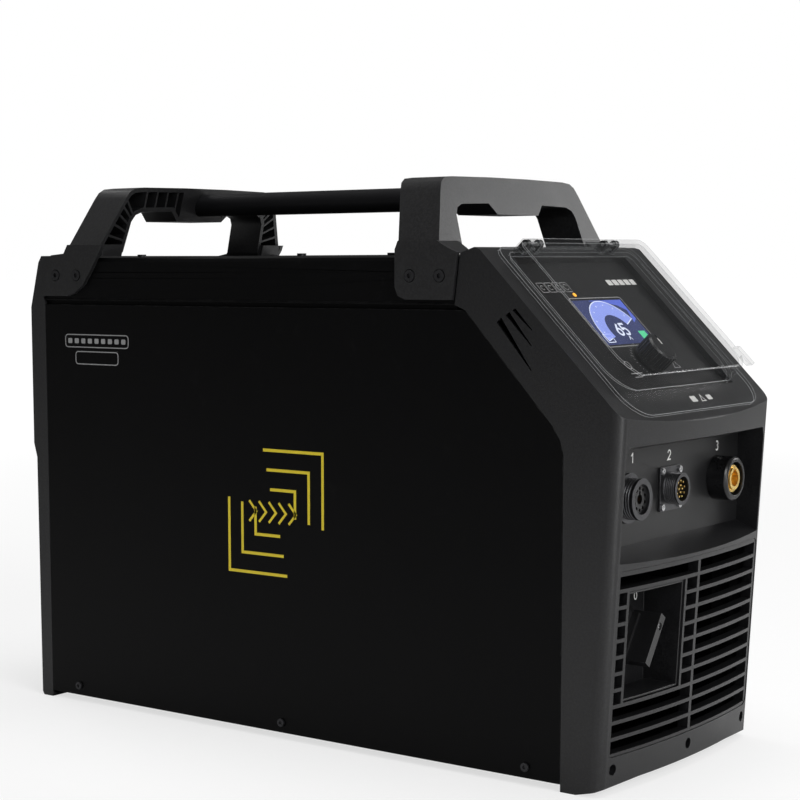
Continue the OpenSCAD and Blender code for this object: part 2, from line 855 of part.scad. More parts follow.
module front_grille() {
  color([0.09, 0.09, 0.095]) from_seam() intersection() {
    difference() {
      plan_prism(0.5);
      plan_prism(9.5);
    }
    along_y(-80, -20) difference() {
      translate([0, (grille_top + grille_bottom) / 2])
        rounded(2 * grille_half - 2 * gap, grille_top - grille_bottom - 2 * gap, 8 - gap);
      slot_layout();
      translate([pocket_x, pocket_z]) square([pocket_width, pocket_height], center = true);
    }
  }
}

module switch_pocket() {
  w = pocket_width / 2 - gap;
  h = pocket_height / 2 - gap;
  color([0.08, 0.08, 0.085]) from_seam() intersection() {
    plan_prism(2);
    difference() {
      box(pocket_x - w, pocket_x + w, -60, -12, pocket_z - h, pocket_z + h);
      box(pocket_x - w + 2, pocket_x + w - 2, -70, -14.5, pocket_z - h + 2, pocket_z + h - 2);
      translate([pocket_x, -30, pocket_z]) rotate([-90, 0, 0]) cylinder(r = 5 + running, h = 40);
    }
  }
}

module switch_body() {
  color([0.15, 0.15, 0.15]) from_seam() translate([pocket_x, -11.95, pocket_z]) difference() {
    translate([-24, 0, -24]) cube([48, 46, 48]);
    rotate([-90, 0, 0]) translate([0, 0, -1]) cylinder(r = 5 + running, h = 30);
  }
}

// frame on the switch axis, outwards, turned with the grip
module at_grip() {
  translate([pocket_x, -15, pocket_z]) rotate([90, 0, 0]) rotate([0, 0, -grip_angle]) children();
}

module switch_handle() {
  color([0.07, 0.07, 0.075]) from_seam() at_grip() difference() {
    union() {
      translate([0, 0, -28]) cylinder(r = 5, h = 29);
      cylinder(r = 24, h = 5);
      translate([0, 0, 5]) cylinder(r1 = 24, r2 = 21, h = 2);
      translate([-4, -grip_length / 2, 5]) cube([8, grip_length, 26]);
      translate([-6.5, -grip_length / 2 + 3, 5]) cube([13, grip_length - 6, 8]);
    }
    translate([0, grip_length / 2 - 10, 28]) cylinder(r = 3.2, h = 10);
    translate([0, grip_length / 2 - 10, 8]) cylinder(r = 1.5, h = 24);
  }
}

module switch_screw() {
  color([0.7, 0.7, 0.7]) from_seam() at_grip() translate([0, grip_length / 2 - 10, 28.02]) screw(1.48, 16, 3, 1.6);
}

module bezel_screws() {
  color([0.2, 0.2, 0.2]) from_seam() for (x = [-112, 0, 112]) {
    translate([x, -30, 20]) rotate([90, 0, 0]) screw(2, 8, 4.3, 2.4);
  }
}

// ---------- inside and rear ----------

module chassis_plate() {
  low = pan + sheet + 0.02;
  back = panel_length - 80;
  color([0.6, 0.6, 0.62]) from_seam() difference() {
    union() {
      along_x(-6, -6 + sheet) polygon([
        [30, low], [back, low], [back, panel_top - 9], [56, panel_top - 9], [30, panel_top - 35]
      ]);
      box(-30, -6 + sheet, 30, back, low, low + 2);
    }
    translate([-20, 120, panel_top - 45]) cube([40, 60, 20]);
  }
}

module heat_sink() {
  color([0.75, 0.76, 0.78]) from_seam() union() {
    box(-5.98 + sheet, 6, 120, 420, 70, 230);
    for (k = [0:15]) {
      box(5.9, 60, 120, 420, 71 + k * 10.4, 73 + k * 10.4);
    }
  }
}

module power_board() {
  color([0.05, 0.3, 0.15]) from_seam() union() {
    box(-9, -6.02, 120, 420, 80, 300);
    for (k = [0:5]) {
      box(-26, -8.9, 136 + k * 46, 168 + k * 46, 100, 128);
    }
  }
}

module capacitors() {
  color([0.15, 0.2, 0.4]) from_seam() for (k = [0:3]) {
    translate([-9.02, 160 + k * 62, 220]) rotate([0, -90, 0]) cylinder(r = 17, h = 60);
  }
}

// laminated core with a middle leg
module transformer() {
  color([0.3, 0.3, 0.32]) from_seam() difference() {
    box(20, 96, 150, 230, pan + sheet + 0.02, 66);
    box(32, 48, 140, 240, 22, 54);
    box(68, 84, 140, 240, 22, 54);
  }
}

// coil round the middle leg of the core
module windings() {
  color([0.7, 0.4, 0.15]) from_seam() difference() {
    box(33, 83, 136, 244, 22.2, 53);
    box(47.8, 68.2, 149.8, 230.2, 10, 70);
  }
}

module at_fan() {
  translate([0, fan_y, fan_z]) rotate([-90, 0, 0]) children();
}

module fan_frame() {
  side = fan_size;
  color([0.08, 0.08, 0.08]) from_seam() at_fan() union() {
    difference() {
      linear_extrude(height = fan_depth) difference() {
        rounded(side, side, 6);
        for (i = [-1, 1]) {
          for (j = [-1, 1]) {
            translate([i * (side / 2 - 6), j * (side / 2 - 6)]) circle(r = 2);
          }
        }
      }
      translate([0, 0, -1]) cylinder(r = fan_bore, h = 40);
    }
    difference() {
      union() {
        cylinder(r = 18, h = 4);
        translate([0, 0, 2]) cylinder(r = 5, h = 14);
        for (a = [45, 135, 225, 315]) {
          rotate([0, 0, a]) translate([16, -2.5, 0]) cube([fan_bore - 15, 5, 4]);
        }
      }
      translate([0, 0, -1]) cylinder(r = 3 + running, h = 40);
    }
  }
}

module fan_rotor() {
  color([0.1, 0.1, 0.1]) from_seam() at_fan() union() {
    difference() {
      translate([0, 0, 5]) cylinder(r = 22, h = 24);
      translate([0, 0, 4]) cylinder(r = 19, h = 14);
    }
    translate([0, 0, 1]) cylinder(r = 3, h = 20);
    for (k = [0 : fan_blades - 1]) {
      rotate([0, 0, k * 360 / fan_blades]) translate([20, 0, 17]) rotate([35, 0, 0])
        translate([0, -13, -1.2]) cube([fan_bore - 23, 26, 2.4]);
    }
  }
}

module fan_screws() {
  color([0.6, 0.6, 0.6]) from_seam() for (i = [-1, 1]) {
    for (k = [-1, 1]) {
      translate([i * (fan_size / 2 - 6), panel_length + 15, fan_z + k * (fan_size / 2 - 6)]) rotate([-90, 0, 0])
        screw(1.98, 16, 4, 2.2);
    }
  }
}

module rear_grille() {
  r = fan_bore;
  color([0.6, 0.6, 0.62]) from_seam() translate([0, panel_length + 15.4, fan_z]) rotate([-90, 0, 0]) union() {
    for (k = [1:7]) {
      rotate_extrude() translate([k * r / 7, 1.2]) circle(r = 1, $fn = 16);
    }
    for (a = [0, 90]) {
      rotate([0, 0, a]) translate([0, 0, 2.4]) cube([2 * r + 4, 4, 1.6], center = true);
    }
    for (a = [0 : 90 : 270]) {
      rotate([0, 0, a]) translate([r + 1, 0, 1.5]) cylinder(r = 4, h = 3.4, center = true);
    }
  }
}

module cable_gland() {
  color([0.06, 0.06, 0.06]) from_seam() translate([-78, panel_length + 24, 300]) rotate([-90, 0, 0]) difference() {
    union() {
      translate([0, 0, -16]) cylinder(r = 12, h = 17);
      cylinder(r = 17, h = 5, $fn = 6);
      translate([0, 0, 5]) cylinder(r1 = 15, r2 = 11, h = 14);
      translate([0, 0, -9]) cylinder(r = 16, h = 5.9, $fn = 6);
    }
    translate([0, 0, -20]) cylinder(r = 7, h = 60);
  }
}

module air_inlet() {
  color([0.8, 0.65, 0.3]) from_seam() translate([78, panel_length + 24, 300]) rotate([-90, 0, 0]) difference() {
    union() {
      translate([0, 0, -16]) cylinder(r = 8, h = 17);
      cylinder(r = 12, h = 6, $fn = 6);
      translate([0, 0, 6]) cylinder(r = 5.5, h = 14);
      translate([0, 0, 14]) cylinder(r1 = 6.5, r2 = 5, h = 4);
      translate([0, 0, -9]) cylinder(r = 12, h = 5.9, $fn = 6);
    }
    translate([0, 0, -20]) cylinder(r = 3.5, h = 60);
  }
}

base_pan();
side_panel_left();
side_panel_right();
top_cover();
front_bezel();
rear_bezel();
front_handle();
rear_handle();
carry_tube();
control_panel();
display_module();
display_lens();
encoder_body();
encoder_sleeve();
encoder_shaft();
encoder_knob();
clear_cover();
hinge_pins();
connector_plate();
torch_ring_shell();
torch_insert();
torch_contacts();
data_shell();
data_insert();
data_pins();
work_housing();
work_contact();
front_grille();
switch_pocket();
switch_body();
switch_handle();
switch_screw();
chassis_plate();
heat_sink();
power_board();
capacitors();
transformer();
windings();
fan_frame();
fan_rotor();
fan_screws();
rear_grille();
cable_gland();
air_inlet();
handle_screws();
cover_screws();
panel_screws();
bezel_screws();
flange_screws();
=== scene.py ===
"""Plasma cutter power unit: finishes, printed marks, screen and studio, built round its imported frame."""

import json
import math
import bpy
import bmesh
from mathutils import Vector, Matrix


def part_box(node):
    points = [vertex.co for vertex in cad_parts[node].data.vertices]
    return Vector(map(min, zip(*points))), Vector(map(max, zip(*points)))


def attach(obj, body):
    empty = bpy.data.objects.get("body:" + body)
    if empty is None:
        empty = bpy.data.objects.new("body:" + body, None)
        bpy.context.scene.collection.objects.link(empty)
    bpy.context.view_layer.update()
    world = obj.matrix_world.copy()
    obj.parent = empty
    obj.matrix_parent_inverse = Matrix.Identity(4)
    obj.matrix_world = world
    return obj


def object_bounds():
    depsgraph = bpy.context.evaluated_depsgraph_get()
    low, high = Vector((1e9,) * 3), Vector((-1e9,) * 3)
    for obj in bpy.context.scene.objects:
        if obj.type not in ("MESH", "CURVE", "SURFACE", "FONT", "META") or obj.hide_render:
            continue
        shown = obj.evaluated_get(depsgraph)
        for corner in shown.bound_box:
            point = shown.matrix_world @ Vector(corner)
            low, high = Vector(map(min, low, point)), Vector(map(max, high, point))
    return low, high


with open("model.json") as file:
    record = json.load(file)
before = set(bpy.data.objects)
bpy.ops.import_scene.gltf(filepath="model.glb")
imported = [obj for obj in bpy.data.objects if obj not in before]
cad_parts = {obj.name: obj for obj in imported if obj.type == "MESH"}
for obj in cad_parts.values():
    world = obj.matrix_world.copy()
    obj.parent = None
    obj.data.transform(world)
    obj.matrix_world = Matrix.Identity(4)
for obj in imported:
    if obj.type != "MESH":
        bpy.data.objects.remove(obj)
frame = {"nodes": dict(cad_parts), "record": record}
cad_low, cad_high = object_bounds()

MM = 0.001
node_of = frame["nodes"]
panel_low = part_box("side_panel_left")[0]
half_width = -panel_low.x
seam_gap = 0.4
sheet_thickness = 1.2
front_seam = panel_low.y - seam_gap * MM
cover_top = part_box("top_cover")[1].z - sheet_thickness * MM


def seam(x, y, z):
    """A place given in mm, its length measured back from the front seam of the side panels."""
    return Vector((x * MM, front_seam + y * MM, z * MM))


# ---------- shader expressions ----------

class Value:
    """A shader socket that can be written into an expression."""

    def __init__(self, finish, socket):
        self.finish = finish
        self.socket = socket

    def math(self, operation, other):
        inputs = {0: self, 1: other}
        return self.finish.add("ShaderNodeMath", {"operation": operation}, inputs)

    def __add__(self, other):
        return self.math("ADD", other)

    def __radd__(self, other):
        return self.math("ADD", other)

    def __sub__(self, other):
        return self.math("SUBTRACT", other)

    def __mul__(self, other):
        return self.math("MULTIPLY", other)

    def __pow__(self, other):
        return self.math("POWER", other)

    def highest(self, other):
        return self.math("MAXIMUM", other)

    def lowest(self, other):
        return self.math("MINIMUM", other)


class Finish:
    """One material and the nodes that make it."""

    def __init__(self, name):
        self.material = bpy.data.materials.new(name)
        self.material.use_nodes = True
        self.tree = self.material.node_tree
        self.tree.nodes.clear()
        self.output = self.tree.nodes.new("ShaderNodeOutputMaterial")

    def add(self, kind, settings=None, inputs=None, out=0):
        node = self.tree.nodes.new(kind)
        for key, value in (settings or {}).items():
            if key == "stops":
                ramp = node.color_ramp
                while len(ramp.elements) < len(value):
                    ramp.elements.new(0.5)
                for element, (place, colour) in zip(ramp.elements, value):
                    element.position = place
                    element.color = colour
            else:
                setattr(node, key, value)
        for key, value in (inputs or {}).items():
            if isinstance(value, Value):
                self.tree.links.new(value.socket, node.inputs[key])
            else:
                node.inputs[key].default_value = value
        return Value(self, node.outputs[out])

    def place(self):
        return self.add("ShaderNodeTexCoord", out=3)

    def noise(self, scale, detail=2.0, rough=0.5, place=None):
        inputs = {"Vector": place or self.place(), "Scale": scale, "Detail": detail, "Roughness": rough}
        return self.add("ShaderNodeTexNoise", {}, inputs)

    def mix(self, factor, first, second):
        return self.add("ShaderNodeMix", {"data_type": "RGBA"}, {0: factor, 6: first, 7: second}, out=2)

    def ramp(self, value, low, high):
        inputs = {0: value, 1: low, 2: high, 3: 0.0, 4: 1.0}
        return self.add("ShaderNodeMapRange", {"clamp": True}, inputs)

    def bump(self, height, distance, strength=1.0, under=None):
        inputs = {"Height": height, "Distance": distance, "Strength": strength}
        if under is not None:
            inputs["Normal"] = under
        return self.add("ShaderNodeBump", {}, inputs)

    def surface(self, **inputs):
        named = {key.replace("_", " "): value for key, value in inputs.items()}
        shader = self.add("ShaderNodeBsdfPrincipled", {}, named)
        self.tree.links.new(shader.socket, self.output.inputs["Surface"])
        return self.material


def rgb(r, g=None, b=None):
    return (r, r if g is None else g, r if b is None else b, 1.0)


def edge_wear_and_highlight(finish, size=0.0012):
    """1 along the sharp edges of the piece, 0 on its faces."""
    bevel = finish.add("ShaderNodeBevel", {"samples": 8}, {"Radius": size})
    flat = finish.add("ShaderNodeNewGeometry", out=1)
    same = finish.add("ShaderNodeVectorMath", {"operation": "DOT_PRODUCT"}, {0: bevel, 1: flat}, out=1)
    return finish.ramp(same, 0.995, 0.86)


def powder_coat(name, colour, grain=900.0, rough=0.42):
    f = Finish(name)
    fine = f.noise(grain, 3.0, 0.6)
    broad = f.noise(7.0, 3.0)
    dust = f.ramp(f.noise(46.0, 5.0, 0.7), 0.60, 0.78)
    base = f.mix(f.ramp(broad, 0.35, 0.7), rgb(*[c * 0.88 for c in colour]), rgb(*[c * 1.16 for c in colour]))
    base = f.mix(dust * 0.03, base, rgb(0.10, 0.098, 0.095))
    base = f.mix(edge_wear_and_highlight(f) * f.ramp(f.noise(160.0, 4.0), 0.42, 0.7) * 0.25, base, rgb(0.10))
    normal = f.bump(fine, 0.00012, 0.55)
    normal = f.bump(f.noise(230.0, 2.0), 0.00018, 0.25, normal)
    return f.surface(Base_Color=base, Roughness=rough + (fine - 0.5) * 0.10 + dust * 0.10, Normal=normal,
                     IOR=1.45, Specular_IOR_Level=0.12)


def moulding(name, colour, grain=1500.0, rough=0.46, depth=0.00006, speck=0.5):
    """Injection-moulded plastic with a spark-eroded grain, faint flow marks and a painted highlight along its
    edges.
    """
    f = Finish(name)
    cells = f.add("ShaderNodeTexVoronoi", {"feature": "SMOOTH_F1"},
                  {"Vector": f.place(), "Scale": grain * 0.55, "Smoothness": 0.6})
    fine = f.noise(grain, 3.0, 0.65)
    pits = f.noise(520.0, 4.0, 0.75)
    flow = f.noise(9.0, 2.0, 0.4)
    smear = f.ramp(f.noise(30.0, 5.0, 0.65), 0.52, 0.76)
    base = f.mix(f.ramp(flow, 0.36, 0.66), rgb(*[c * 0.90 for c in colour]), rgb(*[c * 1.10 for c in colour]))
    base = f.mix(f.ramp(pits, 0.42, 0.62) * speck, base, rgb(*[c * 4.0 for c in colour]))
    # painted highlight: the base colour is lightened along the edges of the piece
    base = f.mix(edge_wear_and_highlight(f, 0.0009) * 0.35, base, rgb(*[min(1.0, c * 2.4 + 0.015) for c in colour]))
    normal = f.bump(cells + fine * 0.6, depth, 0.6)
    normal = f.bump(pits, depth * 3.0, speck, normal)
    return f.surface(Base_Color=base, Roughness=rough + (pits - 0.5) * 0.16 - smear * 0.05, Normal=normal,
                     IOR=1.48)


def metal(name, colour, rough=0.3, scratch=1.0, along=(1.0, 30.0, 30.0), metallic=1.0):
    f = Finish(name)
    stretch = f.add("ShaderNodeMapping", {}, {"Vector": f.place(), "Scale": along})
    lines = f.noise(160.0, 4.0, 0.7, stretch)
    tarnish = f.ramp(f.noise(120.0, 4.0, 0.6), 0.45, 0.75)
    base = f.mix(tarnish * 0.35, rgb(*colour), rgb(*[c * 0.62 for c in colour]))
    base = f.mix(lines * 0.18, base, rgb(*[min(1.0, c * 1.2) for c in colour]))
    normal = f.bump(lines, 0.00003 * scratch, 0.6)
    return f.surface(Base_Color=base, Metallic=metallic, Roughness=rough + lines * 0.12 + tarnish * 0.10,
                     Normal=normal)


def ink(name, colour, rough=0.5, glow=0.0):
    """Screen-printed ink with a faint mottle; glow makes it light up."""
    f = Finish(name)
    mottle = f.noise(700.0, 3.0)
    base = f.mix(f.ramp(mottle, 0.3, 0.75), rgb(*[c * 0.9 for c in colour]), rgb(*colour))
    normal = f.bump(mottle, 0.00003, 0.4)
    extra = {"Emission_Color": base, "Emission_Strength": glow} if glow else {}
    return f.surface(Base_Color=base, Roughness=rough + (mottle - 0.5) * 0.1, Normal=normal, **extra)


def clear_plastic(name):
    """Clear moulded plastic: dark and see-through on its faces, with a painted highlight along its edges and
    at grazing angles.
    """
    f = Finish(name)
    facing = f.add("ShaderNodeLayerWeight", {}, {"Blend": 0.42}, out=1)
    haze = f.noise(260.0, 4.0, 0.6)
    scuff = f.ramp(f.noise(38.0, 6.0, 0.72), 0.60, 0.76)
    edge = edge_wear_and_highlight(f, 0.0011)
    # painted highlight and reflection: base colour goes pale along the edges and at grazing angles, and alpha
    # rises there so it shows
    bright = (edge * 0.9).highest(facing ** 9.0).lowest(1.0)
    alpha = 0.07 + facing ** 3.0 * 0.34 + scuff * 0.02 + edge * 0.40
    base = f.mix(bright, rgb(0.035, 0.037, 0.038), rgb(0.80, 0.82, 0.83))
    return f.surface(Base_Color=base, Alpha=alpha.lowest(1.0), Roughness=0.04 + haze * 0.04 + scuff * 0.06,
                     Normal=f.bump(haze, 0.00001, 0.2), IOR=1.49)


def screen_face(name):
    f = Finish(name)
    tint = f.noise(30.0, 2.0)
    base = f.mix(tint, rgb(0.02, 0.028, 0.085), rgb(0.035, 0.045, 0.13))
    return f.surface(Base_Color=base, Roughness=0.12 + tint * 0.04,
                     Normal=f.bump(f.noise(900.0), 0.000004, 0.2),
                     Emission_Color=base, Emission_Strength=0.9, Coat_Weight=0.6)


def board(name):
    f = Finish(name)
    tracks = f.add("ShaderNodeTexBrick", {"offset": 0.5},
                   {"Vector": f.place(), "Scale": 60.0, "Mortar Size": 0.03}, out=1)
    base = f.mix(tracks, rgb(0.02, 0.17, 0.07), rgb(0.05, 0.28, 0.12))
    return f.surface(Base_Color=base, Roughness=0.35 + tracks * 0.1, Normal=f.bump(tracks, 0.00005, 0.5))


def windings(name):
    f = Finish(name)
    turns = f.add("ShaderNodeTexWave", {"bands_direction": "Z"},
                  {"Vector": f.place(), "Scale": 160.0})
    base = f.mix(turns, rgb(0.22, 0.08, 0.02), rgb(0.62, 0.29, 0.09))
    return f.surface(Base_Color=base, Roughness=0.32 + turns * 0.1, Normal=f.bump(turns, 0.0004, 0.8))


finishes = {
    "panel_coat": powder_coat("panel_coat", (0.0012, 0.0012, 0.0014)),
    "front_plastic": moulding("front_plastic", (0.0045, 0.0045, 0.005), 1500.0, 0.38, 0.00008),
    "handle_plastic": moulding("handle_plastic", (0.0065, 0.0065, 0.007), 1300.0, 0.42, 0.00006),
    "rear_plastic": moulding("rear_plastic", (0.006, 0.006, 0.0065), 1300.0, 0.46),
    "tube_coat": powder_coat("tube_coat", (0.010, 0.010, 0.011), 1200.0, 0.36),
    "panel_print": moulding("panel_print", (0.005, 0.005, 0.0055), 2200.0, 0.42, 0.00002, 0.15),
    "screen_glass": screen_face("screen_glass"),
    "clear_plastic": clear_plastic("clear_plastic"),
    "knob_plastic": moulding("knob_plastic", (0.006, 0.006, 0.0065), 1800.0, 0.36, 0.00003, 0.2),
    "socket_black": moulding("socket_black", (0.004, 0.004, 0.0045), 1800.0, 0.30, 0.00002, 0.2),
    "socket_metal": metal("socket_metal", (0.10, 0.10, 0.105), 0.30, 1.0, (30.0, 1.0, 30.0)),
    "contact_brass": metal("contact_brass", (0.86, 0.60, 0.19), 0.22, 0.7, (30.0, 30.0, 30.0)),
    "bright_steel": metal("bright_steel", (0.60, 0.60, 0.61), 0.28),
    "black_steel": metal("black_steel", (0.055, 0.055, 0.058), 0.38),
    "chassis_zinc": metal("chassis_zinc", (0.58, 0.59, 0.61), 0.36),
    "heat_alloy": metal("heat_alloy", (0.72, 0.73, 0.75), 0.34, 1.0, (30.0, 1.0, 30.0)),
    "board_green": board("board_green"),
    "can_sleeve": moulding("can_sleeve", (0.03, 0.045, 0.17), 900.0, 0.28, 0.00002),
    "core_steel": metal("core_steel", (0.20, 0.20, 0.21), 0.5, 3.0, (1.0, 60.0, 1.0), 0.7),
    "winding_copper": windings("winding_copper"),
    "gland_black": moulding("gland_black", (0.010, 0.010, 0.011), 1200.0, 0.42),
}

# edge rounding of each node in mm
rounding = {
    "front_bezel": 1.6, "front_handle": 2.6, "rear_handle": 2.6,
    "top_cover": 0.5, "carry_tube": 0.4, "clear_cover": 1.0, "encoder_knob": 0.5,
    "front_grille": 0.5, "switch_pocket": 0.6, "switch_handle": 1.0, "work_housing": 0.6,
    "torch_ring_shell": 0.25, "data_shell": 0.2, "torch_insert": 0.2, "work_contact": 0.5, "cable_gland": 0.6, "air_inlet": 0.5,
    "handle_screws": 0.35, "cover_screws": 0.3, "panel_screws": 0.3, "bezel_screws": 0.3, "flange_screws": 0.2,
    "fan_frame": 0.6, "fan_rotor": 0.4, "rear_grille": 0.2, "connector_plate": 0.2, "control_panel": 0.3,
}

flat_nodes = ("top_cover", "connector_plate", "control_panel")


def finish_nodes():
    for part in frame["record"]["subparts"]:
        piece = node_of[part["node"]]
        piece.data.materials.clear()
        piece.data.materials.append(finishes[part["material_slot"]])
        size = rounding.get(part["node"])
        if size is None:
            continue
        for face in piece.data.polygons:
            face.use_smooth = part["node"] not in flat_nodes
        weld = piece.modifiers.new("weld", "WELD")
        weld.merge_threshold = 0.00001
        bevel = piece.modifiers.new("soft_edges", "BEVEL")
        bevel.width = size * MM
        bevel.segments = 3
        bevel.limit_method = "ANGLE"
        bevel.angle_limit = math.radians(38)
        bevel.use_clamp_overlap = True
        if part["node"] in flat_nodes:
            continue
        even = piece.modifiers.new("even_shading", "WEIGHTED_NORMAL")
        even.keep_sharp = False
        even.weight = 70


# ---------- printed and raised marks ----------

class Sheet:
    """A flat place on the unit: across, up and outward directions from a middle point, all in mm."""

    def __init__(self, middle, across, up):
        self.middle = middle
        self.across = Vector(across).normalized()
        self.up = Vector(up).normalized()
        self.out = self.across.cross(self.up).normalized()

    def at(self, u, v, w=0.0):
        return self.middle + (self.across * u + self.up * v + self.out * w) * MM


def slab(bm, sheet, outline, lift, thick):
    """A closed flat prism over an outline given in mm."""
    low = [bm.verts.new(sheet.at(u, v, lift)) for u, v in outline]
    high = [bm.verts.new(sheet.at(u, v, lift + thick)) for u, v in outline]
    bm.faces.new(high)
    bm.faces.new(low[::-1])
    count = len(outline)
    for i in range(count):
        j = (i + 1) % count
        bm.faces.new((low[i], low[j], high[j], high[i]))


def stroke(bm, sheet, points, width, lift=0.04, thick=0.08, closed=False):
    """A mitred line of one width through points in mm."""
    pts = [Vector(p) for p in points]
    count = len(pts)
    left, right = [], []
    for i, p in enumerate(pts):
        before = pts[i - 1] if (i or closed) else None
        after = pts[(i + 1) % count] if (i < count - 1 or closed) else None
        d1 = (p - before).normalized() if before is not None else (after - p).normalized()
        d2 = (after - p).normalized() if after is not None else d1
        side = Vector((-(d1 + d2).y, (d1 + d2).x)).normalized()
        reach = width / 2 / max(0.35, side.dot(Vector((-d1.y, d1.x))))
        left.append(p + side * reach)
        right.append(p - side * reach)
    steps = count if closed else count - 1
    for i in range(steps):
        j = (i + 1) % count
        slab(bm, sheet, [right[i], right[j], left[j], left[i]], lift, thick)


def ring_points(u, v, r, start=0.0, end=360.0, steps=24):
    return [(u + r * math.cos(math.radians(start + (end - start) * k / steps)),
             v + r * math.sin(math.radians(start + (end - start) * k / steps))) for k in range(steps + 1)]


def rounded_box(u, v, w, h, r, steps=5):
    points = []
    for su, sv, start in ((1, 1, 0), (-1, 1, 90), (-1, -1, 180), (1, -1, 270)):
        cu, cv = u + su * (w / 2 - r), v + sv * (h / 2 - r)
        for k in range(steps + 1):
            a = math.radians(start + 90 * k / steps)
            points.append((cu + r * math.cos(a), cv + r * math.sin(a)))
    return points


DIGITS = {
    "0": [ring_points(0, 0, 0.5, 90, 450, 20)],
    "1": [[(-0.28, 0.25), (0.05, 0.5), (0.05, -0.5)]],
    "2": [[(-0.3, 0.22)] + ring_points(0, 0.2, 0.3, 150, -30, 8) + [(-0.32, -0.5), (0.34, -0.5)]],
    "3": [ring_points(-0.02, 0.25, 0.25, 140, -90, 10), ring_points(-0.04, -0.22, 0.28, 90, -140, 10)],
    "5": [[(0.3, 0.5), (-0.25, 0.5), (-0.28, 0.06)] + ring_points(0.0, -0.2, 0.3, 135, -140, 12)],
    "6": [[(0.2, 0.5), (-0.02, 0.28), (-0.27, -0.1)], ring_points(0.0, -0.2, 0.3, 0, 360, 20)],
}


def number(bm, sheet, text, u, v, height, width, lift=0.04):
    for k, digit in enumerate(text):
        centre = u + (k - (len(text) - 1) / 2) * height * 0.82
        for line in DIGITS[digit]:
            squeeze = 0.72 if digit == "0" else 1.0
            stroke(bm, sheet, [(centre + a * height * squeeze, v + b * height) for a, b in line], width, lift)


def piece(name, bm, material, slot, body="housing"):
    bmesh.ops.recalc_face_normals(bm, faces=bm.faces)
    mesh = bpy.data.meshes.new(name)
    bm.to_mesh(mesh)
    bm.free()
    made = bpy.data.objects.new(name, mesh)
    bpy.context.scene.collection.objects.link(made)
    mesh.materials.append(material)
    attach(made, body)
    return made


yellow_ink = ink("yellow_ink", (0.86, 0.68, 0.03), 0.42)
grey_ink = ink("grey_ink", (0.34, 0.34, 0.345))
white_ink = ink("white_ink", (0.82, 0.82, 0.80))
pale_ink = ink("pale_ink", (0.42, 0.42, 0.42))
amber_light = ink("amber_light", (0.95, 0.42, 0.04), 0.3, 1.2)
screen_white = ink("screen_white", (0.72, 0.78, 0.95), 0.3, 0.55)
screen_blue = ink("screen_blue", (0.10, 0.15, 0.62), 0.3, 0.45)
screen_pale = ink("screen_pale", (0.27, 0.34, 0.82), 0.3, 0.5)
screen_green = ink("screen_green", (0.10, 0.62, 0.32), 0.3, 0.45)


def side_marks():
    """Plain angular bars and a frame on each side panel."""
    bar_width, arrow_width = 2.6, 2.2
    for name, side in (("left", -1), ("right", 1)):
        sheet = Sheet(seam(side * half_width / MM, 286.5, 198.5), (0, side, 0), (0, 0, 1))
        bm = bmesh.new()
        for k in range(3):
            reach = 52 - k * 15
            top = 54 - k * 17
            for turn in (-side, side):
                far, near = turn * reach, -turn * (reach * 0.25)
                rise = top if turn == -side else -top
                stroke(bm, sheet, [(far, -rise * 0.2), (far, rise), (near, rise)], bar_width)
        for k in range(5):
            u = -22 + k * 11
            stroke(bm, sheet, [(u - 7, -9), (u + 1, 0), (u - 7, 9)], arrow_width)
        piece("side_graphic_" + name, bm, yellow_ink, "panel_coat")
        low = Sheet(seam(side * half_width / MM, 497.5, 333.5), (0, side, 0), (0, 0, 1))
        bm = bmesh.new()
        for k in range(2):
            stroke(bm, low, rounded_box(0, 8.2 - k * 15.6, 80 - k * 26, 11.5, 3), 0.9, closed=True)
        for k in range(9):
            u = -34 + k * 8.5
            slab(bm, low, rounded_box(u, 8.2, 5.2, 4.6, 1), 0.04, 0.08)
        piece("side_bars_" + name, bm, grey_ink, "panel_coat")


knob_x, knob_v, screen_v, panel_depth = -6.0, -31, 14, 5.5
knob_height, knob_stand = 17, 2
middle = seam(0, 12.75, cover_top / MM - 60.25)
slope_up = (0, 1, 1)
panel_sheet = Sheet(middle, (1, 0, 0), slope_up)


def on_panel(u, s, h=0.0):
    return panel_sheet.at(u, s, h)


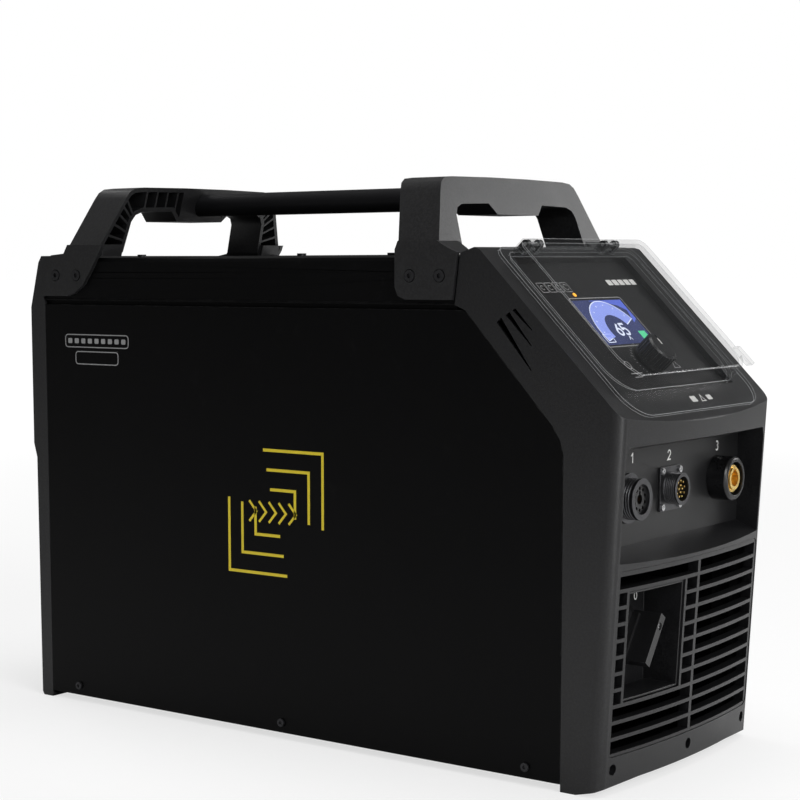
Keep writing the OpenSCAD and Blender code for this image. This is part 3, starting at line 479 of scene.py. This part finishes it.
def panel_marks():
    face = Sheet(on_panel(0, 0, -panel_depth), (1, 0, 0), slope_up)
    bm = bmesh.new()
    for k in range(5):
        slab(bm, face, rounded_box(40 + k * 10, 58, 8.0, 6.2, 0.8), 0.03, 0.06)
    piece("panel_title_bars", bm, white_ink, "panel_print")
    bm = bmesh.new()
    for k in range(4):
        stroke(bm, face, rounded_box(-72 + k * 12, 54, 10.4, 10.4, 1.4), 0.5, 0.03, 0.06, closed=True)
        stroke(bm, face, ring_points(-72 + k * 12, 54, 2.2 + 0.3 * k, 30, 330, 12), 0.5, 0.03, 0.06)
    stroke(bm, face, rounded_box(knob_x, screen_v, 84, 54, 2.5), 0.8, 0.03, 0.06, closed=True)
    piece("panel_icon_frames", bm, pale_ink, "panel_print")
    bm = bmesh.new()
    for k in range(25):
        a = math.radians(225 - k * 270 / 24)
        inner, outer = 17.2, 19.4 if k % 6 else 20.8
        stroke(bm, face, [(knob_x + inner * math.cos(a), knob_v + inner * math.sin(a)),
                          (knob_x + outer * math.cos(a), knob_v + outer * math.sin(a))], 0.5, 0.03, 0.06)
    stroke(bm, face, ring_points(-42, -33, 4.0), 0.7, 0.03, 0.06)
    stroke(bm, face, [(-48, -42), (-30, -42)], 0.8, 0.03, 0.06)
    stroke(bm, face, [(-46, -46), (-34, -46)], 0.8, 0.03, 0.06)
    stroke(bm, face, [(28, -40), (33, -31), (38, -40)], 0.7, 0.03, 0.06, closed=True)
    stroke(bm, face, [(26, -45), (40, -45)], 0.8, 0.03, 0.06)
    piece("knob_scale", bm, pale_ink, "panel_print")
    bm = bmesh.new()
    slab(bm, face, ring_points(-33, 45, 2.0)[:-1], 0.03, 0.5)
    piece("status_light", bm, amber_light, "panel_print")
    lip = Sheet(on_panel(0, 0, 0), (1, 0, 0), slope_up)
    bm = bmesh.new()
    slab(bm, lip, rounded_box(2, -78, 9, 6, 0.8), 0.03, 0.06)
    stroke(bm, lip, [(13, -81), (16.5, -75), (20, -81)], 0.9, 0.03, 0.06, closed=True)
    slab(bm, lip, rounded_box(29, -78, 8, 5, 0.8), 0.03, 0.06)
    piece("lip_marks", bm, white_ink, "front_plastic")


def screen_marks():
    glass = Sheet(on_panel(knob_x, screen_v, -panel_depth), (1, 0, 0), slope_up)
    bm = bmesh.new()
    stroke(bm, glass, ring_points(0, -11, 26.0, 196, 22, 40), 15.0, 0.01, 0.05)
    piece("screen_gauge", bm, screen_pale, "screen_glass")
    bm = bmesh.new()
    stroke(bm, glass, ring_points(0, -11, 34.0, 196, 22, 40), 0.9, 0.07, 0.03)
    stroke(bm, glass, [(-24.9, -18.2), (-33.0, -20.4)], 0.9, 0.07, 0.03)
    stroke(bm, glass, [(17.0, -3.8), (31.4, 2.2)], 0.9, 0.07, 0.03)
    for k in range(7):
        a = math.radians(180 - k * 24)
        dot = ring_points(29.5 * math.cos(a), -11 + 29.5 * math.sin(a), 0.8, steps=8)[:-1]
        slab(bm, glass, dot, 0.07, 0.03)
    stroke(bm, glass, rounded_box(-29.5, -17.5, 12, 9, 1.2), 0.8, 0.01, 0.05, closed=True)
    stroke(bm, glass, [(-32.5, -17.5), (-26.5, -17.5)], 1.2, 0.01, 0.05)
    piece("screen_outline", bm, screen_white, "screen_glass")
    bm = bmesh.new()
    slab(bm, glass, [(-14, 24), (39, 24), (39, 2), (31, -2), (36, 12), (26, 18), (10, 21)], 0.005, 0.004)
    piece("screen_glow", bm, screen_blue, "screen_glass")
    bm = bmesh.new()
    number(bm, glass, "65", 1, -9, 12, 2.1, 0.08)
    stroke(bm, glass, [(2, -20.5), (4, -16.8), (6, -20.5)], 0.9, 0.01, 0.05)
    piece("screen_number", bm, screen_white, "screen_glass")
    bm = bmesh.new()
    slab(bm, glass, rounded_box(30, -16, 11, 8.5, 1), 0.01, 0.05)
    piece("screen_button", bm, screen_green, "screen_glass")


def front_marks():
    plate = Sheet(seam(0, -25, 230), (1, 0, 0), (0, 0, 1))
    bm = bmesh.new()
    number(bm, plate, "1", -66, 29, 7.5, 1.2)
    number(bm, plate, "2", -5, 27, 7.5, 1.2)
    number(bm, plate, "3", 80, 28, 7.5, 1.2)
    piece("socket_numbers", bm, white_ink, "panel_print")
    back = Sheet(seam(-62.5, -14.5, 116), (1, 0, 0), (0, 0, 1))
    bm = bmesh.new()
    number(bm, back, "1", -20, 29, 6.0, 1.0)
    number(bm, back, "0", 24, 29, 6.0, 1.0)
    piece("switch_numbers", bm, white_ink, "front_plastic")


def knob_mark():
    top = Sheet(on_panel(knob_x, knob_v, -panel_depth + knob_stand + knob_height), (1, 0, 0), slope_up)
    bm = bmesh.new()
    stroke(bm, top, [(0, 1.5), (0, 8)], 1.3, 0.02, 0.1)
    piece("knob_pointer", bm, white_ink, "knob_plastic", "encoder_turn")


# ---------- studio ----------

def studio():
    scene = bpy.context.scene
    scene.view_settings.view_transform = "Standard"
    world = bpy.data.worlds.new("studio_light")
    scene.world = world
    world.use_nodes = True
    tree = world.node_tree
    tree.nodes.clear()
    out = tree.nodes.new("ShaderNodeOutputWorld")
    plain = tree.nodes.new("ShaderNodeBackground")
    plain.inputs["Color"].default_value = (1, 1, 1, 1)
    plain.inputs["Strength"].default_value = 0.15
    seen = tree.nodes.new("ShaderNodeBackground")
    seen.inputs["Color"].default_value = (1, 1, 1, 1)
    seen.inputs["Strength"].default_value = 1.0
    path = tree.nodes.new("ShaderNodeLightPath")
    either = tree.nodes.new("ShaderNodeMath")
    either.operation = "MAXIMUM"
    tree.links.new(path.outputs["Is Camera Ray"], either.inputs[0])
    tree.links.new(path.outputs["Is Transmission Ray"], either.inputs[1])
    mixed = tree.nodes.new("ShaderNodeMixShader")
    tree.links.new(either.outputs[0], mixed.inputs[0])
    tree.links.new(plain.outputs[0], mixed.inputs[1])
    tree.links.new(seen.outputs[0], mixed.inputs[2])
    tree.links.new(mixed.outputs[0], out.inputs[0])

    f = Finish("pale_floor")
    grain = f.noise(60.0, 3.0)
    matt = f.add("ShaderNodeBsdfDiffuse", {}, {"Color": f.mix(grain, rgb(0.90), rgb(0.93))})
    light = f.add("ShaderNodeEmission", {}, {"Color": rgb(1.0), "Strength": 1.04})
    ray = f.add("ShaderNodeLightPath")
    reach = f.add("ShaderNodeVectorMath", {"operation": "LENGTH"}, {0: f.place()}, out=1)
    seen_here = ray * (f.ramp(reach, 0.7, 3.0) * 0.35 + 0.65)
    both = f.add("ShaderNodeMixShader", {}, {0: seen_here, 1: matt, 2: light})
    f.tree.links.new(both.socket, f.output.inputs["Surface"])
    bm = bmesh.new()
    turns = [a * math.pi / 24 for a in range(48)]
    rings = [[bm.verts.new((r * math.cos(t), r * math.sin(t), 0)) for t in turns]
             for r in (1.0, 4.0, 14.0, 40.0)]
    bm.faces.new(rings[0])
    for inner, outer in zip(rings, rings[1:]):
        for a in range(48):
            bm.faces.new((inner[a], outer[a], outer[(a + 1) % 48], inner[(a + 1) % 48]))
    mesh = bpy.data.meshes.new("floor")
    bm.to_mesh(mesh)
    bm.free()
    floor = bpy.data.objects.new("floor", mesh)
    floor.location.z = cad_low.z - 0.0002
    mesh.materials.append(f.material)
    scene.collection.objects.link(floor)

    for name, place, size, power in (
        ("key_softbox", (-1.1, -2.4, 1.5), 1.3, 34.0),
        ("top_softbox", (0.1, -0.2, 2.3), 1.5, 26.0),
        ("right_softbox", (2.3, -1.3, 1.0), 1.1, 16.0),
        ("corner_softbox", (-0.35, -2.3, 0.35), 0.5, 9.0),
        ("rear_softbox", (0.5, 2.4, 1.5), 1.4, 16.0),
    ):
        lamp = bpy.data.lights.new(name, "AREA")
        lamp.shape = "DISK"
        lamp.size = size
        lamp.energy = power
        box = bpy.data.objects.new(name, lamp)
        box.location = place
        aim = Vector((0, 0, 0.2)) - Vector(place)
        box.rotation_euler = aim.to_track_quat("-Z", "Y").to_euler()
        scene.collection.objects.link(box)


def camera():
    azimuth, elevation, roll = math.radians(-51.98), math.radians(6.72), math.radians(-0.25)
    level = math.cos(elevation)
    back = Vector((math.sin(azimuth) * level, -math.cos(azimuth) * level, math.sin(elevation)))
    across = Vector((math.cos(azimuth), math.sin(azimuth), 0.0))
    up = back.cross(across)
    right = across * math.cos(roll) + up * math.sin(roll)
    upright = up * math.cos(roll) - across * math.sin(roll)
    data = bpy.data.cameras.new("camera")
    data.sensor_width = 36.0
    data.lens = 87.08
    data.shift_x = 0.1
    data.shift_y = 0.1125
    data.clip_start = 0.05
    data.clip_end = 100.0
    eye = bpy.data.objects.new("camera", data)
    spin = Matrix((right, upright, back)).transposed().to_4x4()
    eye.matrix_world = Matrix.Translation(seam(-1408.48, -763.07, 413.29)) @ spin
    bpy.context.scene.collection.objects.link(eye)
    bpy.context.scene.camera = eye


finish_nodes()
side_marks()
panel_marks()
screen_marks()
front_marks()
knob_mark()
studio()
camera()
